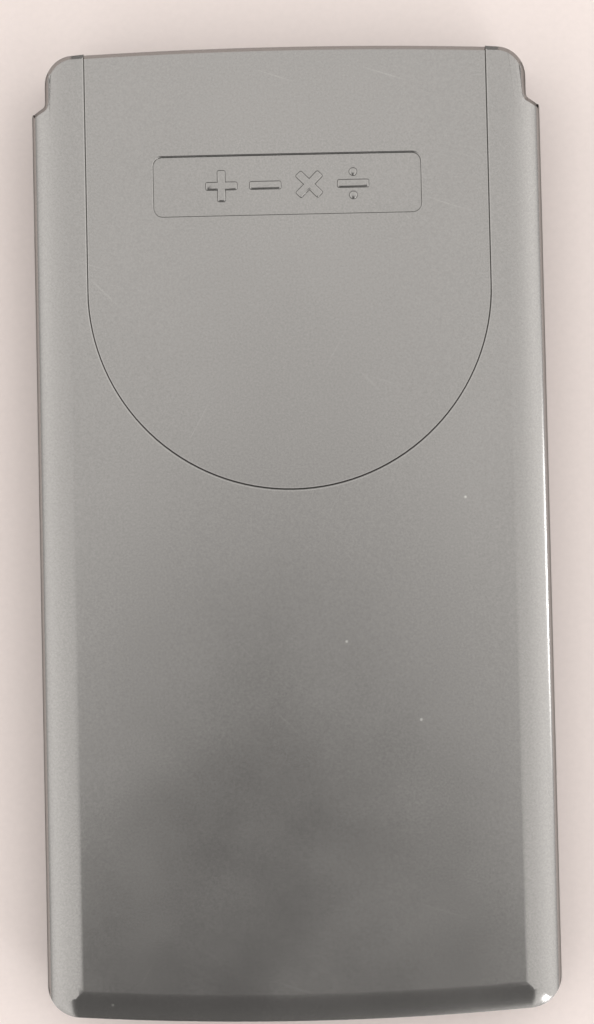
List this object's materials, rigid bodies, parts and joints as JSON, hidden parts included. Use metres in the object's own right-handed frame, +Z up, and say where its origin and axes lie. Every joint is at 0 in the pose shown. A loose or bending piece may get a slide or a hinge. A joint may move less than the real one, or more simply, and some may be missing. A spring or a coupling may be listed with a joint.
{
  "type": "pocket calculator",
  "caption": "Slim scientific calculator lying on its back in a slide-on hard cover with a round thumb recess; keys press, cursor rocks, cover slides off.",
  "frame": {"origin": "centre of the closed calculator's footprint, at the height of the surface it lies on", "axes": "+X right, +Y towards the display end and the cover's open end, +Z up out of the cover's face"},
  "size_m": [0.0824, 0.157, 0.0152],
  "materials": {
    "cover_plastic": "moulded, satin, fine grain",
    "front_case_plastic": "moulded, fine texture",
    "rear_case_plastic": "moulded, coarse texture",
    "clear_window": "clear, polished",
    "lcd_glass": "reflective display glass",
    "solar_glass": "dark amorphous cell behind glass",
    "elastomer": "matt",
    "silicone_rubber": "matt",
    "board_laminate": "green solder mask",
    "epoxy": "black, poured",
    "cell_steel": "nickel plated",
    "contact_metal": "nickel plated",
    "screw_steel": "zinc plated",
    "pale_key_plastic": "moulded, fine texture",
    "dark_key_plastic": "moulded, fine texture",
    "red_key_plastic": "moulded, fine texture"
  },
  "bodies": {
    "calculator_body": {"battery_cell": "cell_steel", "battery_contact_negative": "contact_metal", "battery_contact_positive": "contact_metal", "case_screw_1": "screw_steel", "case_screw_2": "screw_steel", "case_screw_3": "screw_steel", "case_screw_4": "screw_steel", "chip_blob": "epoxy", "circuit_board": "board_laminate", "display_window": "clear_window", "front_case": "front_case_plastic", "keypad_mat": "silicone_rubber", "lcd_connector": "elastomer", "lcd_panel": "lcd_glass", "rear_case": "rear_case_plastic", "solar_cell": "solar_glass", "solar_window": "clear_window"},
    "slide_cover": {"slide_cover": "cover_plastic"},
    "battery_door": {"battery_door": "rear_case_plastic", "battery_door_screw": "screw_steel"},
    "cursor_rocker": {"cursor_rocker": "pale_key_plastic"},
    "key_0": {"key_0": "pale_key_plastic"},
    "key_1": {"key_1": "pale_key_plastic"},
    "key_2": {"key_2": "pale_key_plastic"},
    "key_3": {"key_3": "pale_key_plastic"},
    "key_4": {"key_4": "pale_key_plastic"},
    "key_5": {"key_5": "pale_key_plastic"},
    "key_6": {"key_6": "pale_key_plastic"},
    "key_7": {"key_7": "pale_key_plastic"},
    "key_8": {"key_8": "pale_key_plastic"},
    "key_9": {"key_9": "pale_key_plastic"},
    "key_answer": {"key_answer": "pale_key_plastic"},
    "key_clear": {"key_clear": "red_key_plastic"},
    "key_close": {"key_close": "dark_key_plastic"},
    "key_cos": {"key_cos": "dark_key_plastic"},
    "key_delete": {"key_delete": "red_key_plastic"},
    "key_divide": {"key_divide": "pale_key_plastic"},
    "key_equals": {"key_equals": "pale_key_plastic"},
    "key_exponent": {"key_exponent": "pale_key_plastic"},
    "key_ln": {"key_ln": "dark_key_plastic"},
    "key_log": {"key_log": "dark_key_plastic"},
    "key_memory": {"key_memory": "dark_key_plastic"},
    "key_minus": {"key_minus": "pale_key_plastic"},
    "key_mode": {"key_mode": "dark_key_plastic"},
    "key_negate": {"key_negate": "dark_key_plastic"},
    "key_on": {"key_on": "dark_key_plastic"},
    "key_open": {"key_open": "dark_key_plastic"},
    "key_percent": {"key_percent": "dark_key_plastic"},
    "key_pi": {"key_pi": "dark_key_plastic"},
    "key_plus": {"key_plus": "pale_key_plastic"},
    "key_point": {"key_point": "pale_key_plastic"},
    "key_power": {"key_power": "dark_key_plastic"},
    "key_recall": {"key_recall": "dark_key_plastic"},
    "key_root": {"key_root": "dark_key_plastic"},
    "key_setup": {"key_setup": "dark_key_plastic"},
    "key_shift": {"key_shift": "dark_key_plastic"},
    "key_sin": {"key_sin": "dark_key_plastic"},
    "key_square": {"key_square": "dark_key_plastic"},
    "key_tan": {"key_tan": "dark_key_plastic"},
    "key_times": {"key_times": "pale_key_plastic"}
  },
  "joints": [
    {"name": "battery_door_lift", "type": "slide", "parent": "calculator_body", "child": "battery_door", "axis": [0, 0, -1], "range_m": [0, 0.012]},
    {"name": "cover_slide", "type": "slide", "parent": "calculator_body", "child": "slide_cover", "axis": [0, -1, 0], "range_m": [0, 0.16]},
    {"name": "cursor_rock", "type": "hinge", "parent": "calculator_body", "child": "cursor_rocker", "pos_m": [0, 0.02266, 0.0081], "axis": [0, 1, 0], "range_deg": [-2.5, 2.5], "stiffness_Nm_per_rad": 0.09, "deforming": ["keypad_mat"]},
    {"name": "key_shift_press", "type": "slide", "parent": "calculator_body", "child": "key_shift", "axis": [0, 0, -1], "range_m": [0, 0.001], "stiffness_N_per_m": 700, "deforming": ["keypad_mat"]},
    {"name": "key_mode_press", "type": "slide", "parent": "calculator_body", "child": "key_mode", "axis": [0, 0, -1], "range_m": [0, 0.001], "stiffness_N_per_m": 700, "deforming": ["keypad_mat"]},
    {"name": "key_setup_press", "type": "slide", "parent": "calculator_body", "child": "key_setup", "axis": [0, 0, -1], "range_m": [0, 0.001], "stiffness_N_per_m": 700, "deforming": ["keypad_mat"]},
    {"name": "key_on_press", "type": "slide", "parent": "calculator_body", "child": "key_on", "axis": [0, 0, -1], "range_m": [0, 0.001], "stiffness_N_per_m": 700, "deforming": ["keypad_mat"]},
    {"name": "key_root_press", "type": "slide", "parent": "calculator_body", "child": "key_root", "axis": [0, 0, -1], "range_m": [0, 0.001], "stiffness_N_per_m": 700, "deforming": ["keypad_mat"]},
    {"name": "key_square_press", "type": "slide", "parent": "calculator_body", "child": "key_square", "axis": [0, 0, -1], "range_m": [0, 0.001], "stiffness_N_per_m": 700, "deforming": ["keypad_mat"]},
    {"name": "key_power_press", "type": "slide", "parent": "calculator_body", "child": "key_power", "axis": [0, 0, -1], "range_m": [0, 0.001], "stiffness_N_per_m": 700, "deforming": ["keypad_mat"]},
    {"name": "key_log_press", "type": "slide", "parent": "calculator_body", "child": "key_log", "axis": [0, 0, -1], "range_m": [0, 0.001], "stiffness_N_per_m": 700, "deforming": ["keypad_mat"]},
    {"name": "key_ln_press", "type": "slide", "parent": "calculator_body", "child": "key_ln", "axis": [0, 0, -1], "range_m": [0, 0.001], "stiffness_N_per_m": 700, "deforming": ["keypad_mat"]},
    {"name": "key_negate_press", "type": "slide", "parent": "calculator_body", "child": "key_negate", "axis": [0, 0, -1], "range_m": [0, 0.001], "stiffness_N_per_m": 700, "deforming": ["keypad_mat"]},
    {"name": "key_pi_press", "type": "slide", "parent": "calculator_body", "child": "key_pi", "axis": [0, 0, -1], "range_m": [0, 0.001], "stiffness_N_per_m": 700, "deforming": ["keypad_mat"]},
    {"name": "key_sin_press", "type": "slide", "parent": "calculator_body", "child": "key_sin", "axis": [0, 0, -1], "range_m": [0, 0.001], "stiffness_N_per_m": 700, "deforming": ["keypad_mat"]},
    {"name": "key_cos_press", "type": "slide", "parent": "calculator_body", "child": "key_cos", "axis": [0, 0, -1], "range_m": [0, 0.001], "stiffness_N_per_m": 700, "deforming": ["keypad_mat"]},
    {"name": "key_tan_press", "type": "slide", "parent": "calculator_body", "child": "key_tan", "axis": [0, 0, -1], "range_m": [0, 0.001], "stiffness_N_per_m": 700, "deforming": ["keypad_mat"]},
    {"name": "key_memory_press", "type": "slide", "parent": "calculator_body", "child": "key_memory", "axis": [0, 0, -1], "range_m": [0, 0.001], "stiffness_N_per_m": 700, "deforming": ["keypad_mat"]},
    {"name": "key_recall_press", "type": "slide", "parent": "calculator_body", "child": "key_recall", "axis": [0, 0, -1], "range_m": [0, 0.001], "stiffness_N_per_m": 700, "deforming": ["keypad_mat"]},
    {"name": "key_open_press", "type": "slide", "parent": "calculator_body", "child": "key_open", "axis": [0, 0, -1], "range_m": [0, 0.001], "stiffness_N_per_m": 700, "deforming": ["keypad_mat"]},
    {"name": "key_close_press", "type": "slide", "parent": "calculator_body", "child": "key_close", "axis": [0, 0, -1], "range_m": [0, 0.001], "stiffness_N_per_m": 700, "deforming": ["keypad_mat"]},
    {"name": "key_percent_press", "type": "slide", "parent": "calculator_body", "child": "key_percent", "axis": [0, 0, -1], "range_m": [0, 0.001], "stiffness_N_per_m": 700, "deforming": ["keypad_mat"]},
    {"name": "key_7_press", "type": "slide", "parent": "calculator_body", "child": "key_7", "axis": [0, 0, -1], "range_m": [0, 0.001], "stiffness_N_per_m": 700, "deforming": ["keypad_mat"]},
    {"name": "key_8_press", "type": "slide", "parent": "calculator_body", "child": "key_8", "axis": [0, 0, -1], "range_m": [0, 0.001], "stiffness_N_per_m": 700, "deforming": ["keypad_mat"]},
    {"name": "key_9_press", "type": "slide", "parent": "calculator_body", "child": "key_9", "axis": [0, 0, -1], "range_m": [0, 0.001], "stiffness_N_per_m": 700, "deforming": ["keypad_mat"]},
    {"name": "key_delete_press", "type": "slide", "parent": "calculator_body", "child": "key_delete", "axis": [0, 0, -1], "range_m": [0, 0.001], "stiffness_N_per_m": 700, "deforming": ["keypad_mat"]},
    {"name": "key_clear_press", "type": "slide", "parent": "calculator_body", "child": "key_clear", "axis": [0, 0, -1], "range_m": [0, 0.001], "stiffness_N_per_m": 700, "deforming": ["keypad_mat"]},
    {"name": "key_4_press", "type": "slide", "parent": "calculator_body", "child": "key_4", "axis": [0, 0, -1], "range_m": [0, 0.001], "stiffness_N_per_m": 700, "deforming": ["keypad_mat"]},
    {"name": "key_5_press", "type": "slide", "parent": "calculator_body", "child": "key_5", "axis": [0, 0, -1], "range_m": [0, 0.001], "stiffness_N_per_m": 700, "deforming": ["keypad_mat"]},
    {"name": "key_6_press", "type": "slide", "parent": "calculator_body", "child": "key_6", "axis": [0, 0, -1], "range_m": [0, 0.001], "stiffness_N_per_m": 700, "deforming": ["keypad_mat"]},
    {"name": "key_times_press", "type": "slide", "parent": "calculator_body", "child": "key_times", "axis": [0, 0, -1], "range_m": [0, 0.001], "stiffness_N_per_m": 700, "deforming": ["keypad_mat"]},
    {"name": "key_divide_press", "type": "slide", "parent": "calculator_body", "child": "key_divide", "axis": [0, 0, -1], "range_m": [0, 0.001], "stiffness_N_per_m": 700, "deforming": ["keypad_mat"]},
    {"name": "key_1_press", "type": "slide", "parent": "calculator_body", "child": "key_1", "axis": [0, 0, -1], "range_m": [0, 0.001], "stiffness_N_per_m": 700, "deforming": ["keypad_mat"]},
    {"name": "key_2_press", "type": "slide", "parent": "calculator_body", "child": "key_2", "axis": [0, 0, -1], "range_m": [0, 0.001], "stiffness_N_per_m": 700, "deforming": ["keypad_mat"]},
    {"name": "key_3_press", "type": "slide", "parent": "calculator_body", "child": "key_3", "axis": [0, 0, -1], "range_m": [0, 0.001], "stiffness_N_per_m": 700, "deforming": ["keypad_mat"]},
    {"name": "key_plus_press", "type": "slide", "parent": "calculator_body", "child": "key_plus", "axis": [0, 0, -1], "range_m": [0, 0.001], "stiffness_N_per_m": 700, "deforming": ["keypad_mat"]},
    {"name": "key_minus_press", "type": "slide", "parent": "calculator_body", "child": "key_minus", "axis": [0, 0, -1], "range_m": [0, 0.001], "stiffness_N_per_m": 700, "deforming": ["keypad_mat"]},
    {"name": "key_0_press", "type": "slide", "parent": "calculator_body", "child": "key_0", "axis": [0, 0, -1], "range_m": [0, 0.001], "stiffness_N_per_m": 700, "deforming": ["keypad_mat"]},
    {"name": "key_point_press", "type": "slide", "parent": "calculator_body", "child": "key_point", "axis": [0, 0, -1], "range_m": [0, 0.001], "stiffness_N_per_m": 700, "deforming": ["keypad_mat"]},
    {"name": "key_exponent_press", "type": "slide", "parent": "calculator_body", "child": "key_exponent", "axis": [0, 0, -1], "range_m": [0, 0.001], "stiffness_N_per_m": 700, "deforming": ["keypad_mat"]},
    {"name": "key_answer_press", "type": "slide", "parent": "calculator_body", "child": "key_answer", "axis": [0, 0, -1], "range_m": [0, 0.001], "stiffness_N_per_m": 700, "deforming": ["keypad_mat"]},
    {"name": "key_equals_press", "type": "slide", "parent": "calculator_body", "child": "key_equals", "axis": [0, 0, -1], "range_m": [0, 0.001], "stiffness_N_per_m": 700, "deforming": ["keypad_mat"]}
  ]
}
